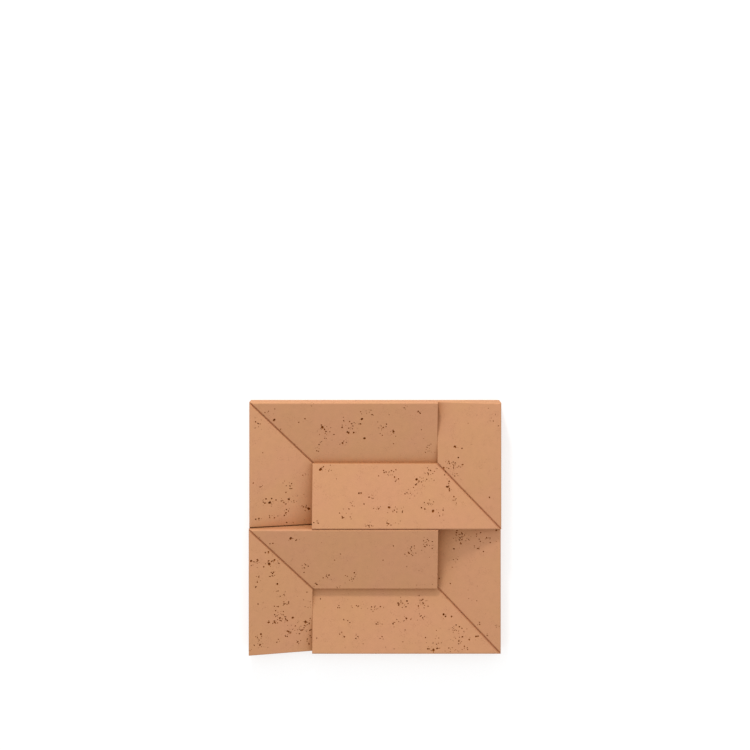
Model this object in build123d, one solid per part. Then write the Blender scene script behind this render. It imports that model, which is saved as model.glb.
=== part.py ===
from build123d import *
import os
from math import atan2, cos, radians, sin, tan

# Cast concrete wall panel, lying on its flat back: X across, Y up the wall, Z out of the wall.
# The origin is the centre of the back face.
# Two courses share the panel. Each has four sloping facets: a low pair at the top and left,
# and a high pair at the bottom and right. The lower course is the upper one, turned half round.
panel_width = 500.0
panel_height = 500.0
side_fold_width = 125.0  # from a side edge in to the upright fold line
top_fold_height = 125.0  # from a course's outer edge in to its valley

# Levels above the back face
valley_level = 7.0  # thinnest concrete, along the low pair's fold lines
fold_rise = 24.0  # from a facet's fold line up to its raised edge
pair_lift = 9.0  # how far the high pair stands above the low one

arris_radius = 3.0  # easing round the outside of a course
step_radius = 1.2  # easing of the steps inside a course
crease_width = 5.0  # groove where the two facets of a pair meet
crease_depth = 4.0
seam_width = 2.5  # slot in the left facet, at the foot of the next course's wall
seam_depth = 5.0
joint_width = 2.4  # slot between the two courses, where they are level
joint_depth = 4.6

left = -panel_width / 2
right = panel_width / 2
fold_left = left + side_fold_width
fold_right = right - side_fold_width
top = panel_height / 2
valley = top - top_fold_height
middle = 0.0
low_level = valley_level
high_level = valley_level + pair_lift
cut_reach = arris_radius + crease_width  # how far a cutter runs past the concrete

# Up to this height the right facet stands above the end of the top facet, and then below it.
# Both easings run a little past it, so they meet in a hollow.
crossing = valley + top_fold_height * pair_lift / fold_rise


def slope(fold_point, fold_level, uphill, run):
    """Plane of a facet that climbs fold_rise over its run, square to its fold line."""
    climb = uphill * run + Vector(0, 0, fold_rise)
    normal = climb.cross(uphill.rotate(Axis.Z, 90))
    return Plane(origin=(*fold_point, fold_level), x_dir=climb, z_dir=normal)


def on_slope(plane, point):
    """The point of a facet over a point of the plan."""
    away = Vector(*point, plane.origin.Z) - plane.origin
    return Vector(*point, plane.origin.Z - away.dot(plane.z_dir) / plane.z_dir.Z)


def facet(plane, *corners):
    """A block from the back face up to a sloping top."""
    footprint = make_face(Polyline(*corners, close=True))
    block = extrude(footprint, amount=high_level + fold_rise + cut_reach)
    return split(block, bisect_by=plane, keep=Keep.BOTTOM)


def bar(section, start, end, across):
    """A cutter with one section, from a little before start to a little past end."""
    along = (end - start).normalized()
    begin = start - along * arris_radius
    run = (end - start).length + 2 * arris_radius
    return extrude(Plane(origin=begin, x_dir=across, z_dir=along) * section, amount=run)


def easing(plane, start, end, radius=arris_radius):
    """What rounds one arris of a facet, from plan point to plan point with the wall on the left."""
    begin = on_slope(plane, start)
    finish = on_slope(plane, end)
    along = (finish - begin).normalized()
    outward = Vector(along.X, along.Y).normalized().rotate(Axis.Z, 90)
    upward = along.cross(outward)
    pitch = atan2(plane.z_dir.dot(outward), plane.z_dir.dot(upward))
    inward = Vector(-cos(pitch), sin(pitch))
    bisector = (inward - Vector(0, 1)).normalized()
    half_angle = radians(inward.get_angle(bisector))
    tangent = radius / tan(half_angle)
    on_wall = Vector(0, -tangent)
    on_top = inward * tangent
    nearest = bisector * (radius / sin(half_angle) - radius)
    above = on_top + Vector(0, cut_reach)
    arc = ThreePointArc(on_wall, nearest, on_top)
    rest = Polyline(on_top, above, (cut_reach, above.Y), (cut_reach, on_wall.Y), on_wall)
    return bar(make_face(arc + rest), begin, finish, outward)


def crease(plane, start, end):
    """The groove along the line where a facet meets the other of its pair."""
    begin = on_slope(plane, start)
    finish = on_slope(plane, end)
    along = Vector(finish.X - begin.X, finish.Y - begin.Y)
    spread = crease_width / 2 * (1 + cut_reach / crease_depth)
    section = Polygon((0, -crease_depth), (spread, cut_reach), (-spread, cut_reach), align=None)
    return bar(section, begin, finish, along.rotate(Axis.Z, 90))


def seam(plane, start, end):
    """The slot along the edge of a facet, with the next course's wall on the right."""
    begin = on_slope(plane, start)
    finish = on_slope(plane, end)
    along = Vector(finish.X - begin.X, finish.Y - begin.Y)
    section = Polygon(
        (0, -seam_depth), (seam_width, -seam_depth), (seam_width, cut_reach), (0, cut_reach), align=None
    )
    return bar(section, begin, finish, along.rotate(Axis.Z, 90))


def low_pair():
    """Top and left facets, which slope down to the valley and to the left fold line."""
    top_slope = slope((fold_left, valley), low_level, Vector(0, 1), top_fold_height)
    left_slope = slope((fold_left, valley), low_level, Vector(-1, 0), side_fold_width)
    top_facet = facet(
        top_slope, (left, top), (fold_right, top), (fold_right, valley), (fold_left, valley)
    )
    top_facet -= easing(top_slope, (left, top), (fold_right, top))
    top_facet -= easing(top_slope, (fold_right, top), (fold_right, crossing), step_radius)
    left_facet = facet(
        left_slope, (left, top), (fold_left, valley), (fold_left, middle), (left, middle)
    )
    left_facet -= easing(left_slope, (left, middle), (left, top))
    left_facet -= seam(left_slope, (left, middle), (fold_left, middle))
    return top_facet + left_facet - crease(top_slope, (fold_left, valley), (left, top))


def high_pair():
    """Bottom and right facets, which climb from the valley and from the right fold line."""
    bottom_slope = slope((fold_right, valley), high_level, Vector(0, -1), valley - middle)
    right_slope = slope((fold_right, valley), high_level, Vector(1, 0), side_fold_width)
    bottom_facet = facet(
        bottom_slope, (fold_left, valley), (fold_right, valley), (right, middle), (fold_left, middle)
    )
    bottom_facet -= easing(bottom_slope, (fold_left, valley), (fold_right, valley), step_radius)
    bottom_facet -= easing(bottom_slope, (right, middle), (fold_left, middle))
    bottom_facet -= easing(bottom_slope, (fold_left, middle), (fold_left, valley), step_radius)
    right_facet = facet(
        right_slope, (fold_right, top), (right, top), (right, middle), (fold_right, valley)
    )
    right_facet -= easing(right_slope, (fold_right, top), (right, top))
    right_facet -= easing(right_slope, (right, top), (right, middle))
    right_facet -= easing(right_slope, (fold_right, valley), (fold_right, crossing), step_radius)
    return bottom_facet + right_facet - crease(bottom_slope, (fold_right, valley), (right, middle))


course = low_pair() + high_pair()
panel = course + Rot(0, 0, 180) * course
joint_floor = high_level + fold_rise - joint_depth
joint = Box(
    fold_right - fold_left, joint_width, joint_depth + cut_reach, align=(Align.CENTER, Align.CENTER, Align.MIN)
)
panel -= Pos(0, middle, joint_floor) * joint
print("solids", len(panel.solids()), "faces", len(panel.faces()), "volume", panel.volume)

os.makedirs("parts", exist_ok=True)
export_step(panel.solid(), "parts/concrete_panel.step")
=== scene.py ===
import math

import bmesh
import bpy
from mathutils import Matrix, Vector


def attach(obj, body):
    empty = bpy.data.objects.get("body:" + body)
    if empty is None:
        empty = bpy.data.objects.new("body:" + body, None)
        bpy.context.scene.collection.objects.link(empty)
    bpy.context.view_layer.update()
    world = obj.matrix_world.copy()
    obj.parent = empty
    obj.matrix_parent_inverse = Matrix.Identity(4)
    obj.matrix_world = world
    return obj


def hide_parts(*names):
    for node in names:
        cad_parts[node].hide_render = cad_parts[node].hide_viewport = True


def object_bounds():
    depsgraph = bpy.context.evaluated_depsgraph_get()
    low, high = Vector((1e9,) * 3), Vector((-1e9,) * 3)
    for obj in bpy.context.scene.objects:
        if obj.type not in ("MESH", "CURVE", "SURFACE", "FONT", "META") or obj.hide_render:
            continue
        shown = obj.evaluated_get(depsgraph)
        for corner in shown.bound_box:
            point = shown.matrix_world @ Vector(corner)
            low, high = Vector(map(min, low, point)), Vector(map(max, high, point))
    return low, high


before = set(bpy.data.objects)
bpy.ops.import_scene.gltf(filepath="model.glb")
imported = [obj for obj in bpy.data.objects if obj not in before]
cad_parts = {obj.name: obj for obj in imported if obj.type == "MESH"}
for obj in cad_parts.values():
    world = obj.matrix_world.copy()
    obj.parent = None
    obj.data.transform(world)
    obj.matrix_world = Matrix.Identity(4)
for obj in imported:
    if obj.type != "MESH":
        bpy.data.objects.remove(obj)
lowBefore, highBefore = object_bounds()
print("frame loaded, box", [round(v, 4) for v in (*lowBefore, *highBefore)])

mm = 0.001


def addNode(tree, kind, inputs=None, **settings):
    node = tree.nodes.new(kind)
    for name, value in settings.items():
        setattr(node, name, value)
    for name, value in (inputs or {}).items():
        if isinstance(value, bpy.types.NodeSocket):
            tree.links.new(value, node.inputs[name])
        else:
            node.inputs[name].default_value = value
    return node


def addMath(tree, operation, first, second=0.0):
    node = addNode(tree, "ShaderNodeMath", {0: first, 1: second}, operation=operation)
    return node.outputs[0]


def addNoise(tree, where, scale, detail=2.0, roughness=0.5, distortion=0.0):
    sizes = {"Vector": where, "Scale": scale, "Detail": detail, "Roughness": roughness}
    sizes["Distortion"] = distortion
    return addNode(tree, "ShaderNodeTexNoise", sizes).outputs["Fac"]


def addRamp(tree, factor, *stops):
    node = addNode(tree, "ShaderNodeValToRGB", {"Fac": factor})
    elements = node.color_ramp.elements
    while len(elements) < len(stops):
        elements.new(0.5)
    for element, (position, shade) in zip(elements, stops):
        element.position = position
        element.color = (shade, shade, shade, 1)
    return node.outputs["Color"]


def addMix(tree, factor, first, second, blend="MIX"):
    node = tree.nodes.new("ShaderNodeMix")
    node.data_type = "RGBA"
    node.blend_type = blend
    for socket, value in ((node.inputs[0], factor), (node.inputs[6], first), (node.inputs[7], second)):
        if isinstance(value, bpy.types.NodeSocket):
            tree.links.new(value, socket)
        else:
            socket.default_value = value
    return node.outputs[2]


# Concrete, coloured right through like terracotta
concrete = {
    "colour": (0.64, 0.315, 0.160),
    "rosy": (0.65, 0.308, 0.168),
    "ochre": (0.63, 0.320, 0.151),
    # painted shade: the insides of the pores are coloured darker than the face, standing in for the shade
    # in them
    "paintedPoreShadeColour": (0.40, 0.125, 0.020),
    "ownColour": (0.5, 1.0),  # how much of its own colour the face has, and the inside of a pore
    "shine": (0.25, 0.0),  # of the face, and of the inside of a pore
    "cloudScale": 14.0,  # ochre and rosy clouds, a few centimetres across
    "cloudEdges": (0.35, 0.65),
    "toneEdges": (0.3, 0.7),  # between these, blotches and grain go from dark to plain
    "blotchScale": 90.0,
    "blotchDark": 0.86,
    "blotchStrength": 0.35,
    "grainScale": 900.0,
    "grainDark": 0.80,
    "grainStrength": 0.5,
    "grainDepth": 0.10 * mm,
    "roughness": (0.80, 0.96),
    "pinholeScale": 420.0,
    "pinholeEdges": (0.10, 0.28),
    "pinholeShadeTint": (0.55, 0.42, 0.28),  # painted shade: how much of each colour is left in a pinhole
    "pinholeStrength": 0.7,
    "pinholeDepth": 0.35 * mm,
    "gatherScale": 55.0,  # pinholes gather where this noise is high
    "gatherEdges": (0.50, 0.62),
    "paintedCornerShadeReach": 45 * mm,  # reach of the painted corner shade, which darkens the colour by ambient occlusion in the corners of the relief
    "paintedCornerShadeSamples": 8,
    "paintedCornerShadeColour": (0.64, 0.53, 0.32),  # painted shade: what the colour in the deepest corner is multiplied by
    "grooveTilt": (0.55, 0.17),  # up part of the normal in the creases, and how far it varies
    "grooveOpen": 0.88,  # the creases get less of the painted corner shade
    "jointHalf": (125.5 * mm, 1.3 * mm),  # half length and half width of the joint, which gets no painted corner shade
}


def concreteMaterial(name, look, base, own, shine):
    # base is the colour, and own is how much of it shows through the clouds
    material = bpy.data.materials.new(name)
    material.use_nodes = True
    tree = material.node_tree
    shader = tree.nodes["Principled BSDF"]
    shader.inputs["Specular IOR Level"].default_value = shine
    where = addNode(tree, "ShaderNodeTexCoord").outputs["Object"]

    cloud = addNoise(tree, where, look["cloudScale"], detail=3.0)
    blotch = addNoise(tree, where, look["blotchScale"], detail=4.0, roughness=0.6)
    grain = addNoise(tree, where, look["grainScale"], detail=3.0, roughness=0.7)
    low, high = look["cloudEdges"]
    rosiness = addRamp(tree, cloud, (low, 0), (high, 1))
    shade = addMix(tree, rosiness, (*look["ochre"], 1), (*look["rosy"], 1))
    shade = addMix(tree, own, shade, (*base, 1))
    low, high = look["toneEdges"]
    blotches = addRamp(tree, blotch, (low, look["blotchDark"]), (high, 1.0))
    shade = addMix(tree, look["blotchStrength"], shade, blotches, "MULTIPLY")
    grains = addRamp(tree, grain, (low, look["grainDark"]), (high, 1.0))
    shade = addMix(tree, look["grainStrength"], shade, grains, "MULTIPLY")

    # pinholes, dented by bump and darkened as painted shade
    cells = addNode(tree, "ShaderNodeTexVoronoi", {"Vector": where, "Scale": look["pinholeScale"]})
    low, high = look["pinholeEdges"]
    hole = addRamp(tree, cells.outputs["Distance"], (low, 1.0), (high, 0.0))
    low, high = look["gatherEdges"]
    gather = addRamp(tree, addNoise(tree, where, look["gatherScale"]), (low, 0), (high, 1))
    pinholes = addMath(tree, "MULTIPLY", hole, gather)
    dark = [part * left for part, left in zip(base, look["pinholeShadeTint"])]
    darkness = addMath(tree, "MULTIPLY", pinholes, look["pinholeStrength"])
    shade = addMix(tree, darkness, shade, (*dark, 1))

    # painted corner shade: ambient occlusion darkens the colour in the corners of the relief, leaving out
    # the joint, and the creases nearly so
    corners = addNode(
        tree,
        "ShaderNodeAmbientOcclusion",
        {"Distance": look["paintedCornerShadeReach"]},
        samples=look["paintedCornerShadeSamples"],
        only_local=True,
    )
    upward = addNode(tree, "ShaderNodeNewGeometry").outputs["True Normal"]
    upward = addNode(tree, "ShaderNodeSeparateXYZ", {0: upward}).outputs["Z"]
    middle, margin = look["grooveTilt"]
    groove = addMath(tree, "COMPARE", upward, middle)
    groove.node.inputs[2].default_value = margin
    place = addNode(tree, "ShaderNodeSeparateXYZ", {0: where}).outputs
    reachX, reachY = look["jointHalf"]
    inX = addMath(tree, "LESS_THAN", addMath(tree, "ABSOLUTE", place["X"]), reachX)
    inY = addMath(tree, "LESS_THAN", addMath(tree, "ABSOLUTE", place["Y"]), reachY)
    openness = addMath(tree, "MULTIPLY", groove, look["grooveOpen"])
    openness = addMath(tree, "MAXIMUM", openness, addMath(tree, "MULTIPLY", inX, inY))
    openness = addMath(tree, "MAXIMUM", corners.outputs["AO"], openness)
    # the colour is multiplied by the painted shade, darker the more closed in a corner is
    corner = addMix(tree, openness, (*look["paintedCornerShadeColour"], 1), (1, 1, 1, 1))
    shade = addMix(tree, 1.0, shade, corner, "MULTIPLY")
    tree.links.new(shade, shader.inputs["Base Color"])
    smooth, rough = look["roughness"]
    tree.links.new(addRamp(tree, grain, (0.2, smooth), (0.8, rough)), shader.inputs["Roughness"])

    grainBump = addNode(tree, "ShaderNodeBump", {"Distance": look["grainDepth"], "Height": grain})
    holeBump = addNode(
        tree,
        "ShaderNodeBump",
        {"Distance": look["pinholeDepth"], "Height": pinholes, "Normal": grainBump.outputs[0]},
        invert=True,
    )
    tree.links.new(holeBump.outputs[0], shader.inputs["Normal"])
    return material


ownOnFace, ownInPore = concrete["ownColour"]
faceShine, poreShine = concrete["shine"]
concreteFace = concreteMaterial(
    "throughColouredConcrete", concrete, concrete["colour"], ownOnFace, faceShine
)
# the pores' insides, coloured darker as painted shade
concretePore = concreteMaterial(
    "concreteInsidePores", concrete, concrete["paintedPoreShadeColour"], ownInPore, poreShine
)
print("materials made")


# Where the pores gather, facet by facet: x, y, half spread in x and in y, all in mm, and how many
poreDrifts = {
    "upper course, top facet": [
        (-100, 184, 16, 18, 26), (-113, 151, 6, 12, 5), (-64, 168, 10, 6, 6), (-46, 203, 20, 16, 24),
        (-18, 230, 14, 8, 8), (18, 197, 12, 16, 12), (36, 191, 6, 10, 8), (60, 238, 6, 6, 5),
        (88, 230, 6, 4, 5), (109, 157, 12, 10, 12), (-209, 228, 18, 10, 6), (-121, 245, 10, 4, 3),
    ],
    "upper course, left facet": [
        (-236, 211, 12, 10, 7), (-224, 149, 2, 2, 1), (-136, 101, 8, 4, 4), (-177, 85, 12, 12, 9),
        (-228, 81, 4, 4, 3), (-213, 51, 16, 10, 16), (-174, 53, 18, 8, 16), (-178, 27, 10, 8, 10),
        (-209, 23, 16, 6, 8), (-140, 31, 8, 14, 7), (-230, 16, 8, 10, 5), (-170, 8, 12, 4, 3),
    ],
    "upper course, bottom facet": [
        (-98, 115, 16, 6, 8), (30, 109, 14, 10, 14), (44, 94, 6, 8, 6), (-34, 69, 6, 4, 5),
        (-8, 62, 8, 6, 6), (-46, 50, 8, 12, 6), (-53, 30, 16, 12, 9), (-115, 16, 8, 6, 4),
        (4, 39, 8, 6, 8), (44, 35, 18, 8, 12), (-10, 9, 12, 4, 8), (30, 13, 24, 8, 9),
        (73, 67, 14, 10, 12), (96, 92, 20, 10, 18), (108, 111, 18, 8, 14), (105, 47, 14, 10, 10),
        (129, 28, 12, 18, 9), (147, 81, 6, 10, 14), (163, 54, 14, 10, 9), (144, 107, 6, 10, 3),
    ],
    "upper course, right facet": [
        (233, 226, 10, 16, 6), (163, 158, 10, 8, 7), (155, 122, 14, 12, 26), (159, 104, 8, 6, 6),
        (175, 123, 8, 6, 4), (228, 63, 2, 2, 1), (246, 82, 2, 2, 1),
    ],
    "lower course, top facet": [
        (-160, -22, 14, 4, 5), (-204, -30, 8, 6, 3), (-144, -81, 10, 10, 7), (-96, -100, 16, 8, 8),
        (-50, -100, 14, 12, 12), (-116, -113, 10, 8, 6), (-74, -121, 6, 2, 3), (69, -47, 12, 14, 14),
        (105, -28, 12, 18, 20), (-65, -52, 24, 2, 2), (36, -35, 4, 4, 1), (91, -85, 4, 4, 1),
    ],
    "lower course, bottom facet": [
        (56, -156, 12, 8, 12), (96, -156, 12, 10, 18), (60, -184, 18, 8, 10), (92, -182, 8, 8, 9),
        (0, -166, 18, 6, 12), (-36, -162, 12, 8, 6), (-74, -162, 12, 6, 3), (-54, -188, 8, 8, 4),
        (8, -192, 8, 6, 4), (38, -195, 6, 8, 4), (144, -175, 12, 8, 6), (165, -203, 20, 8, 20),
        (173, -223, 24, 8, 14), (115, -225, 16, 8, 10), (117, -238, 12, 8, 16), (153, -240, 16, 6, 8),
        (177, -240, 8, 6, 5), (203, -218, 4, 4, 4), (-36, -216, 8, 6, 6), (-66, -212, 8, 8, 5),
        (14, -220, 8, 4, 3), (88, -140, 4, 4, 1),
    ],
    "lower course, right facet": [
        (168, -24, 12, 12, 24), (184, -20, 8, 8, 8), (203, -14, 10, 8, 7), (223, -23, 16, 8, 12),
        (203, -40, 8, 6, 6), (162, -66, 8, 6, 4), (209, -191, 10, 4, 4), (242, -196, 4, 6, 3),
        (223, -212, 4, 4, 3), (190, -145, 24, 8, 3),
    ],
    "lower course, left facet": [
        (-212, -48, 10, 4, 6), (-239, -66, 10, 10, 12), (-208, -68, 14, 8, 14), (-193, -63, 6, 6, 6),
        (-204, -90, 8, 8, 8), (-231, -97, 8, 8, 6), (-185, -131, 12, 6, 6), (-177, -150, 8, 4, 8),
        (-195, -151, 10, 8, 5), (-139, -153, 12, 10, 5), (-187, -173, 14, 12, 22), (-200, -186, 14, 4, 14),
        (-179, -186, 10, 6, 8), (-142, -192, 14, 8, 16), (-154, -205, 20, 10, 22), (-175, -210, 8, 8, 12),
        (-229, -217, 8, 10, 10), (-229, -231, 8, 6, 6), (-193, -224, 8, 6, 3), (-150, -229, 6, 4, 4),
        (-134, -226, 6, 10, 8), (-245, -240, 4, 4, 4),
    ],
}

# The widest pores, one by one: x and y in mm
widePores = {
    "upper course, top facet": [
        (-201, 214), (-82, 184), (-65, 166), (-26, 216), (-29, 206), (-55, 189), (-21, 176),
        (-6, 225), (86, 232), (112, 164), (-105, 199), (-112, 163), (37, 190),
    ],
    "upper course, left facet": [
        (-217, 57), (-206, 57), (-210, 49), (-182, 48), (-172, 54), (-133, 33), (-178, 68), (-231, 18),
    ],
    "upper course, bottom facet": [
        (-109, 114), (-32, 69), (-4, 59), (28, 42), (-65, 25), (115, 35), (107, 50), (83, 95),
        (81, 85), (144, 81), (148, 77), (137, 117), (17, 112), (-18, 7),
    ],
    "upper course, right facet": [(244, 205), (166, 139), (159, 102), (159, 161)],
    "lower course, top facet": [(-167, -18), (72, -44), (78, -34), (-97, -98), (-138, -74)],
    "lower course, bottom facet": [
        (52, -153), (64, -151), (87, -161), (97, -155), (38, -191), (6, -194), (137, -176),
        (153, -180), (116, -242), (124, -239), (-116, -220), (201, -217), (60, -205),
    ],
    "lower course, right facet": [
        (164, -9), (187, -25), (172, -35), (204, -43), (216, -48), (158, -46), (129, -107),
        (151, -116), (241, -4),
    ],
    "lower course, left facet": [
        (-245, -62), (-233, -60), (-210, -70), (-200, -63), (-206, -87), (-236, -114), (-194, -111),
        (-181, -151), (-172, -148), (-189, -179), (-179, -177), (-164, -180), (-200, -187),
        (-186, -185), (-139, -190), (-131, -193), (-159, -197), (-151, -213), (-128, -207),
        (-174, -206), (-226, -208), (-239, -229), (-228, -230), (-154, -229), (-132, -235),
    ],
}

pores = {
    "seed": 11,
    "driftRadius": 1.08 * mm,
    "wideRadius": 2.0 * mm,
    "looseRadius": 1.0 * mm,
    "looseOnFace": 260.0,  # pores to a square metre, outside the drifts
    "looseElsewhere": 900.0,  # on the side walls and the back
    "onFaceTilt": 0.5,  # up part of the normal, over which a face belongs to the relief
    "scatter": 0.6,  # reach of each of the two draws that place a pore in its drift
    "dropHeight": 20 * mm,  # the drifts start this far above the panel, and are dropped onto it
    "dropReach": 1.0,
    "shapes": 5,
    "roundness": 2,  # subdivisions of each pebble
    "lump": 0.6,  # how far the noise pushes a pebble out of round
    "lumpScale": 1.1,
    "lumpStep": 3.7,  # how far apart the pebbles' noises are
    "stretch": (0.8, 1.2),
    "outline": (1.1, 0.9, 1.3),  # across, along and into the concrete
    "leastGrowth": 0.6,
    "growthRange": 0.9,
    "growthPower": 2.0,  # over 1, most pores stay small
}

panel = {
    "node": "concrete_panel",
    "body": "root",
    "slot": "concrete",
    "weld": 0.01 * mm,  # corners nearer than this before the carving are made one
    "crumb": 0.0002 * mm,  # and those nearer than this after it
    "wideFlat": 300 * mm * mm,  # flats over this area are shaded flat, and the rest smooth
    "flatAngle": math.radians(0.05),  # faces that turn less than this are joined
    "flatStep": 100 * mm,  # flats are told apart by a thousandth of this
    "flatTurn": 0.9,  # a face turned further from its flat isn't part of it
    "flatWeight": 1000,  # how much a wide flat counts in a smoothed corner
    "sharpAngle": math.radians(40),  # edges that turn more stay sharp
    "smoothAngle": math.radians(35),  # faces that turn more aren't smoothed together
}


def weldMesh(mesh, distance, flatAngle=None):
    shape = bmesh.new()
    shape.from_mesh(mesh)
    bmesh.ops.remove_doubles(shape, verts=shape.verts, dist=distance)
    if flatAngle:
        bmesh.ops.dissolve_limit(shape, angle_limit=flatAngle, verts=shape.verts, edges=shape.edges)
    shape.to_mesh(mesh)
    shape.free()


def driftMesh():
    # one point for each drift and each wide pore, and the tree below turns them into pores
    above = highBefore.z + pores["dropHeight"]
    points, spreads, counts, radii = [], [], [], []
    for drifts in poreDrifts.values():
        for x, y, spreadX, spreadY, count in drifts:
            points.append((x * mm, y * mm, above))
            spreads += [spreadX * mm, spreadY * mm, 0]
            counts.append(count)
            radii.append(pores["driftRadius"])
    for places in widePores.values():
        for x, y in places:
            points.append((x * mm, y * mm, above))
            spreads += [0, 0, 0]
            counts.append(1)
            radii.append(pores["wideRadius"])
    mesh = bpy.data.meshes.new("poreDrifts")
    mesh.from_pydata(points, [], [])
    for name, kind, values in (
        ("spread", "FLOAT_VECTOR", spreads),
        ("poreCount", "INT", counts),
        ("poreRadius", "FLOAT", radii),
    ):
        attribute = mesh.attributes.new(name, kind, "POINT")
        attribute.data.foreach_set("vector" if kind == "FLOAT_VECTOR" else "value", values)
    return mesh


def poreCarvingTree(look):
    tree = bpy.data.node_groups.new("poreCarving", "GeometryNodeTree")
    face = tree.interface
    face.new_socket("Panel", in_out="INPUT", socket_type="NodeSocketGeometry")
    for name, kind in (
        ("Drifts", "NodeSocketObject"),
        ("Seed", "NodeSocketInt"),
        ("Loose radius", "NodeSocketFloat"),
        ("Loose on face", "NodeSocketFloat"),
        ("Loose elsewhere", "NodeSocketFloat"),
        ("Concrete", "NodeSocketMaterial"),
        ("Pore", "NodeSocketMaterial"),
    ):
        face.new_socket(name, in_out="INPUT", socket_type=kind)
    face.new_socket("Panel", in_out="OUTPUT", socket_type="NodeSocketGeometry")
    given = tree.nodes.new("NodeGroupInput").outputs
    seed = given["Seed"]

    def randomVector(low, high, offset):
        values = {"Min": (low,) * 3, "Max": (high,) * 3, "Seed": addMath(tree, "ADD", seed, offset)}
        return addNode(tree, "FunctionNodeRandomValue", values, data_type="FLOAT_VECTOR").outputs[0]

    def randomFloat(low, high, offset):
        node = tree.nodes.new("FunctionNodeRandomValue")
        node.inputs[2].default_value = low
        node.inputs[3].default_value = high
        tree.links.new(addMath(tree, "ADD", seed, offset), node.inputs["Seed"])
        return node.outputs[1]

    def named(name, kind):
        return addNode(tree, "GeometryNodeInputNamedAttribute", {"Name": name}, data_type=kind).outputs[0]

    def vectorMath(operation, first, second):
        node = addNode(tree, "ShaderNodeVectorMath", {0: first}, operation=operation)
        if isinstance(second, bpy.types.NodeSocket):
            tree.links.new(second, node.inputs["Scale" if operation == "SCALE" else 1])
        elif operation == "SCALE":
            node.inputs["Scale"].default_value = second
        else:
            node.inputs[1].default_value = second
        return node.outputs[0]

    # pores of a drift lie round its middle, thinning outwards, dropped onto the relief from above
    drifts = addNode(tree, "GeometryNodeObjectInfo", {"Object": given["Drifts"]}).outputs["Geometry"]
    spots = addNode(
        tree,
        "GeometryNodeDuplicateElements",
        {"Geometry": drifts, "Amount": named("poreCount", "INT")},
        domain="POINT",
    ).outputs["Geometry"]
    reach = look["scatter"]
    apart = vectorMath("ADD", randomVector(-reach, reach, 1), randomVector(-reach, reach, 2))
    offset = vectorMath("MULTIPLY", apart, named("spread", "FLOAT_VECTOR"))
    spots = addNode(tree, "GeometryNodeSetPosition", {"Geometry": spots, "Offset": offset}).outputs[0]
    drop = addNode(
        tree,
        "GeometryNodeRaycast",
        {
            "Target Geometry": given["Panel"],
            "Ray Direction": (0, 0, -1),
            "Ray Length": look["dropReach"],
        },
    ).outputs
    spots = addNode(
        tree,
        "GeometryNodeStoreNamedAttribute",
        {"Geometry": spots, "Name": "poreNormal", "Value": drop["Hit Normal"]},
        data_type="FLOAT_VECTOR",
    ).outputs[0]
    missed = addNode(tree, "FunctionNodeBooleanMath", {0: drop["Is Hit"]}, operation="NOT").outputs[0]
    spots = addNode(
        tree, "GeometryNodeDeleteGeometry", {"Geometry": spots, "Selection": missed}
    ).outputs[0]
    spots = addNode(
        tree, "GeometryNodeSetPosition", {"Geometry": spots, "Position": drop["Hit Position"]}
    ).outputs[0]

    # loose pores, sparse on the relief and closer on the walls and the back
    normal = tree.nodes.new("GeometryNodeInputNormal").outputs[0]
    upward = addNode(tree, "ShaderNodeSeparateXYZ", {0: normal}).outputs["Z"]
    onFace = addMath(tree, "GREATER_THAN", upward, look["onFaceTilt"])
    fewer = addMath(tree, "SUBTRACT", given["Loose on face"], given["Loose elsewhere"])
    density = addMath(tree, "ADD", given["Loose elsewhere"], addMath(tree, "MULTIPLY", onFace, fewer))
    loose = addNode(
        tree,
        "GeometryNodeDistributePointsOnFaces",
        {"Mesh": given["Panel"], "Density": density, "Seed": seed},
    ).outputs
    looseSpots = addNode(
        tree,
        "GeometryNodeStoreNamedAttribute",
        {"Geometry": loose["Points"], "Name": "poreNormal", "Value": loose["Normal"]},
        data_type="FLOAT_VECTOR",
    ).outputs[0]
    looseSpots = addNode(
        tree,
        "GeometryNodeStoreNamedAttribute",
        {"Geometry": looseSpots, "Name": "poreRadius", "Value": given["Loose radius"]},
        data_type="FLOAT",
    ).outputs[0]
    allSpots = addNode(tree, "GeometryNodeJoinGeometry").inputs[0]
    tree.links.new(spots, allSpots)
    tree.links.new(looseSpots, allSpots)
    allSpots = allSpots.node.outputs[0]

    # a few lumpy pebbles, which the pores are cut with
    pebbles = tree.nodes.new("GeometryNodeGeometryToInstance")
    position = tree.nodes.new("GeometryNodeInputPosition").outputs[0]
    for shape in range(look["shapes"]):
        size = {"Radius": 1.0, "Subdivisions": look["roundness"]}
        ball = addNode(tree, "GeometryNodeMeshIcoSphere", size).outputs["Mesh"]
        lumps = addNode(
            tree,
            "ShaderNodeTexNoise",
            {
                "Vector": position,
                "W": shape * look["lumpStep"],
                "Scale": look["lumpScale"],
                "Detail": 1.0,
            },
            noise_dimensions="4D",
        ).outputs["Color"]
        push = vectorMath("SCALE", vectorMath("SUBTRACT", lumps, (0.5, 0.5, 0.5)), look["lump"])
        lumpy = addNode(tree, "GeometryNodeSetPosition", {"Geometry": ball, "Offset": push}).outputs[0]
        lumpy = addNode(
            tree, "GeometryNodeSetMaterial", {"Geometry": lumpy, "Material": given["Pore"]}
        ).outputs[0]
        tree.links.new(lumpy, pebbles.inputs[0])

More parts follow.
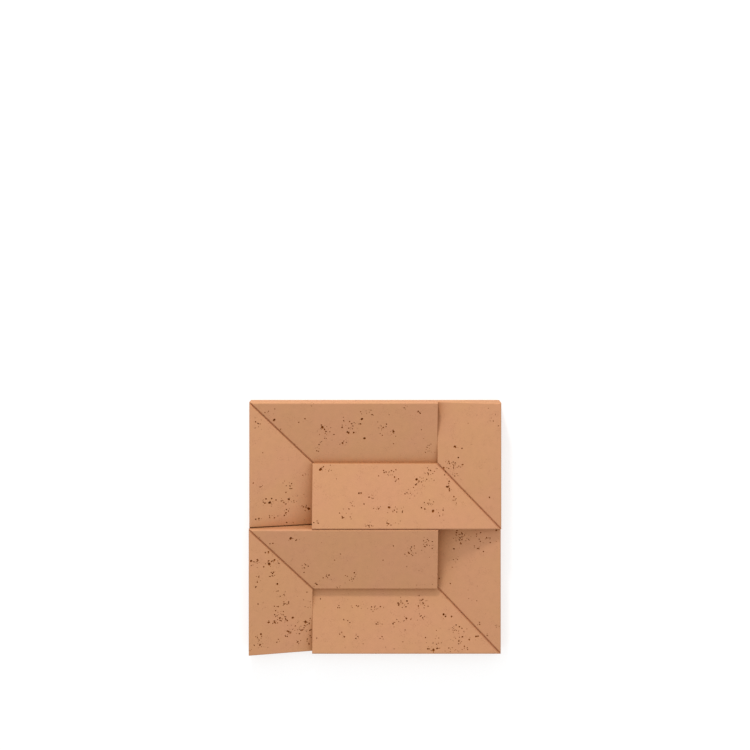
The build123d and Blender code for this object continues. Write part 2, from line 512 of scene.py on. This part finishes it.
    turn = addNode(
        tree,
        "FunctionNodeAlignRotationToVector",
        {"Vector": named("poreNormal", "FLOAT_VECTOR")},
        axis="Z",
    ).outputs[0]
    spin = addNode(tree, "ShaderNodeCombineXYZ", {"Z": randomFloat(0, math.tau, 3)}).outputs[0]
    turn = addNode(
        tree, "FunctionNodeRotateRotation", {"Rotation": turn, "Rotate By": spin}, rotation_space="LOCAL"
    ).outputs[0]
    stretch = vectorMath("MULTIPLY", randomVector(*look["stretch"], 4), look["outline"])
    growth = addMath(tree, "POWER", randomFloat(0.0, 1.0, 6), look["growthPower"])
    growth = addMath(tree, "MULTIPLY", growth, look["growthRange"])
    growth = addMath(tree, "ADD", growth, look["leastGrowth"])
    stretch = vectorMath("SCALE", stretch, growth)
    size = vectorMath("SCALE", stretch, named("poreRadius", "FLOAT"))
    # a little under the number of shapes, so that the last draw is still one of them
    pick = addMath(tree, "FLOOR", randomFloat(0, look["shapes"] - 0.01, 5))
    cutters = addNode(
        tree,
        "GeometryNodeInstanceOnPoints",
        {
            "Points": allSpots,
            "Instance": pebbles.outputs[0],
            "Pick Instance": True,
            "Instance Index": pick,
            "Rotation": turn,
            "Scale": size,
        },
    ).outputs[0]

    faced = addNode(
        tree, "GeometryNodeSetMaterial", {"Geometry": given["Panel"], "Material": given["Concrete"]}
    ).outputs[0]
    carved = addNode(
        tree,
        "GeometryNodeMeshBoolean",
        {"Mesh 1": faced, "Mesh 2": cutters},
        operation="DIFFERENCE",
        solver="MANIFOLD",
    ).outputs["Mesh"]
    whole = addNode(tree, "GeometryNodeRealizeInstances", {"Geometry": carved}).outputs[0]
    inside = addNode(
        tree, "GeometryNodeMaterialSelection", {"Material": given["Pore"]}
    ).outputs[0]
    done = addNode(
        tree,
        "GeometryNodeSetMaterial",
        {"Geometry": whole, "Selection": inside, "Material": given["Pore"]},
    ).outputs[0]
    tree.links.new(done, tree.nodes.new("NodeGroupOutput").inputs[0])
    return tree


def setInputs(modifier, values):
    for item in modifier.node_group.interface.items_tree:
        if item.in_out == "INPUT" and item.name in values:
            modifier[item.identifier] = values[item.name]


def flatsOf(mesh, wide):
    # the wide flats as (normal, distance from the origin)
    areas = {}
    for polygon in mesh.polygons:
        distance = polygon.center.dot(polygon.normal) / panel["flatStep"]
        key = tuple(round(v, 3) for v in (*polygon.normal, distance))
        area, widest = areas.get(key, (0, polygon))
        areas[key] = (area + polygon.area, max(widest, polygon, key=lambda p: p.area))
    flats = []
    for area, widest in areas.values():
        if area > wide:
            flats.append((widest.normal.copy(), widest.center.dot(widest.normal)))
    return flats


def shadeFlats(mesh, flats):
    # a wide flat keeps its own normal right up to its arrises and pores, and the rest is smoothed
    # with the faces round each corner that turn only a little from it
    ownNormals = []
    around = [[] for vertex in mesh.vertices]
    for polygon in mesh.polygons:
        corners = [mesh.vertices[v].co for v in polygon.vertices]
        own = None
        if polygon.material_index == 0:
            for normal, distance in flats:
                flush = all(abs(normal.dot(corner) - distance) < panel["weld"] for corner in corners)
                if flush and normal.dot(polygon.normal) > panel["flatTurn"]:
                    own = normal
                    break
        ownNormals.append(own)
        polygon.use_smooth = True
        for vertex in polygon.vertices:
            around[vertex].append(polygon)
    least = math.cos(panel["smoothAngle"])
    normals = []
    for polygon, own in zip(mesh.polygons, ownNormals):
        for vertex in polygon.vertices:
            if own:
                normals.append(own)
                continue
            blend = Vector()
            for other in around[vertex]:
                if other.normal.dot(polygon.normal) > least:
                    flat = ownNormals[other.index]
                    blend += flat * panel["flatWeight"] if flat else other.normal
            normals.append(blend.normalized())
    mesh.set_sharp_from_angle(angle=panel["sharpAngle"])
    mesh.normals_split_custom_set(normals)


def carvedPanel():
    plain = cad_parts[panel["node"]].data.copy()
    weldMesh(plain, panel["weld"], panel["flatAngle"])
    plain.materials.clear()
    flats = flatsOf(plain, panel["wideFlat"])
    print("plain panel", len(plain.polygons), "faces,", len(flats), "wide flats")
    piece = bpy.data.objects.new("concretePanel", plain)
    drifts = bpy.data.objects.new("poreDrifts", driftMesh())
    for item in (piece, drifts):
        bpy.context.scene.collection.objects.link(item)
    carving = piece.modifiers.new("poreCarving", "NODES")
    carving.node_group = poreCarvingTree(pores)
    setInputs(
        carving,
        {
            "Drifts": drifts,
            "Seed": pores["seed"],
            "Loose radius": pores["looseRadius"],
            "Loose on face": pores["looseOnFace"],
            "Loose elsewhere": pores["looseElsewhere"],
            "Concrete": concreteFace,
            "Pore": concretePore,
        },
    )
    bpy.context.view_layer.update()
    evaluated = piece.evaluated_get(bpy.context.evaluated_depsgraph_get())
    carved = bpy.data.meshes.new_from_object(evaluated)
    piece.modifiers.remove(carving)
    piece.data = carved
    weldMesh(carved, panel["crumb"])
    # the carving counts the pores' material past the end of the list
    last = len(carved.materials) - 1
    for polygon in carved.polygons:
        polygon.material_index = min(polygon.material_index, last)
    bpy.data.objects.remove(drifts)
    shadeFlats(carved, flats)
    triangles = sum(len(p.vertices) - 2 for p in carved.polygons)
    finishes = [material.name for material in carved.materials]
    print("carved panel", len(carved.polygons), "faces,", triangles, "triangles", finishes)
    return piece


concretePanel = carvedPanel()
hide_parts(panel["node"])
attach(concretePanel, panel["body"])

# Plain pale ground, which shows white and keeps the panel's shadow
ground = {"size": 6.0, "colour": (0.6, 0.6, 0.6), "lift": 0.525}


def makeGround():
    half = ground["size"] / 2
    mesh = bpy.data.meshes.new("ground")
    corners = [(-half, -half, 0), (half, -half, 0), (half, half, 0), (-half, half, 0)]
    mesh.from_pydata(corners, [], [(0, 1, 2, 3)])
    plane = bpy.data.objects.new("ground", mesh)
    bpy.context.scene.collection.objects.link(plane)
    material = bpy.data.materials.new("paleGround")
    material.use_nodes = True
    tree = material.node_tree
    shader = tree.nodes["Principled BSDF"]
    shader.inputs["Base Color"].default_value = (*ground["colour"], 1)
    shader.inputs["Roughness"].default_value = 1.0
    shader.inputs["Specular IOR Level"].default_value = 0.0
    shader.inputs["Emission Color"].default_value = (1, 1, 1, 1)
    rays = addNode(tree, "ShaderNodeLightPath").outputs
    seen = addMath(tree, "MAXIMUM", rays["Is Camera Ray"], rays["Is Glossy Ray"])
    seen = addMath(tree, "MAXIMUM", seen, rays["Is Transmission Ray"])
    tree.links.new(addMath(tree, "MULTIPLY", seen, ground["lift"]), shader.inputs["Emission Strength"])
    mesh.materials.append(material)


# Soft white light from all round, and one lamp from beyond the upper edge
light = {
    "ambient": 0.78,
    "upperEdge": 0.14,  # how much brighter the ambient light is from beyond the upper edge
    "overhead": 0.06,  # and how much brighter from straight above
    "power": 20.7,
    "width": 0.25,
    "distance": 2.1,
    "towards": Vector((-0.12, 0.93, 0.34)),
}


def makeLight():
    scene = bpy.context.scene
    world = bpy.data.worlds.new("softWhite")
    scene.world = world
    world.use_nodes = True
    tree = world.node_tree
    sky = tree.nodes["Background"]
    sky.inputs["Color"].default_value = (1, 1, 1, 1)
    rays = addNode(tree, "ShaderNodeLightPath").outputs
    seen = addMath(tree, "MAXIMUM", rays["Is Camera Ray"], rays["Is Glossy Ray"])
    seen = addMath(tree, "MAXIMUM", seen, rays["Is Transmission Ray"])
    way = addNode(tree, "ShaderNodeTexCoord").outputs["Generated"]
    way = addNode(tree, "ShaderNodeSeparateXYZ", {0: way}).outputs
    glow = addMath(tree, "MULTIPLY_ADD", way["Y"], light["upperEdge"])
    glow.node.inputs[2].default_value = light["ambient"]
    glow = addMath(tree, "ADD", glow, addMath(tree, "MULTIPLY", way["Z"], light["overhead"]))
    white = addMath(tree, "SUBTRACT", 1.0, glow)
    glow = addMath(tree, "ADD", glow, addMath(tree, "MULTIPLY", seen, white))
    tree.links.new(glow, sky.inputs["Strength"])
    softBox = bpy.data.lights.new("softBox", "AREA")
    softBox.shape = "DISK"
    softBox.size = light["width"]
    softBox.energy = light["power"]
    lamp = bpy.data.objects.new("softBox", softBox)
    lamp.location = light["towards"].normalized() * light["distance"]
    lamp.rotation_euler = light["towards"].to_track_quat("Z", "Y").to_euler()
    scene.collection.objects.link(lamp)


# Looks straight down, from beyond the panel's upper edge
camera = {"position": (0, 0.592, 2.041), "lens": 48.6, "sensor": 36, "shift": -0.193}


def makeCamera():
    lens = bpy.data.cameras.new("lookingDown")
    lens.lens = camera["lens"]
    lens.sensor_width = camera["sensor"]
    lens.shift_y = camera["shift"]
    viewer = bpy.data.objects.new("lookingDown", lens)
    viewer.location = camera["position"]
    bpy.context.scene.collection.objects.link(viewer)
    bpy.context.scene.camera = viewer


makeGround()
makeLight()
makeCamera()
print("ground, light and camera made")
bpy.context.scene.view_settings.view_transform = "Standard"
